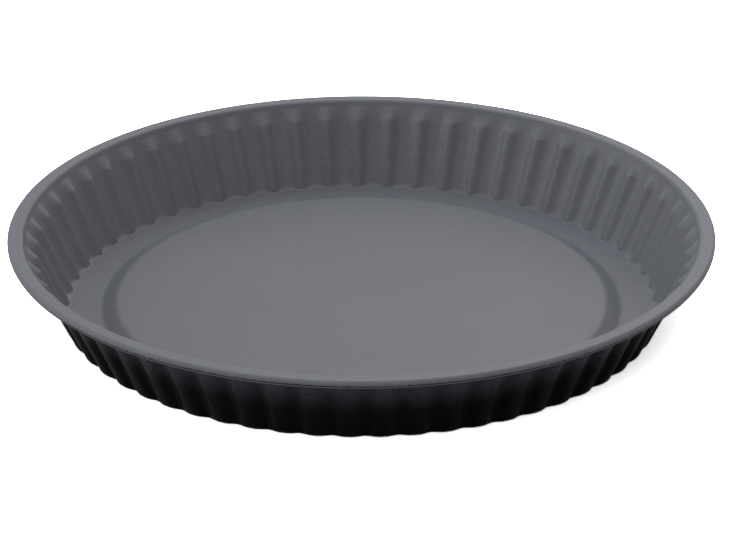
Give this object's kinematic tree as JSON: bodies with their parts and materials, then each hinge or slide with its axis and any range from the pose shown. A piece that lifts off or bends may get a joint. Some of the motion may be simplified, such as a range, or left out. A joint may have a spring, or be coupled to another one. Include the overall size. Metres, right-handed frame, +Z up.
{
  "type": "pie dish",
  "caption": "Round fluted pie dish of coated sheet steel, with leaning ribbed wall, raised disc in the floor and a short flange rolled round a wire.",
  "frame": {"origin": "on the ground under the middle of the floor", "axes": "+Z up along the dish's axis of symmetry; X and Y run through the middle of a lobe of the fluted wall"},
  "size_m": [0.29, 0.29, 0.035],
  "materials": {
    "nonstick_coated_steel": "satin",
    "steel_wire": "satin"
  },
  "bodies": {
    "root": {"dish_shell": "nonstick_coated_steel", "rim_wire": "steel_wire"}
  },
  "joints": []
}
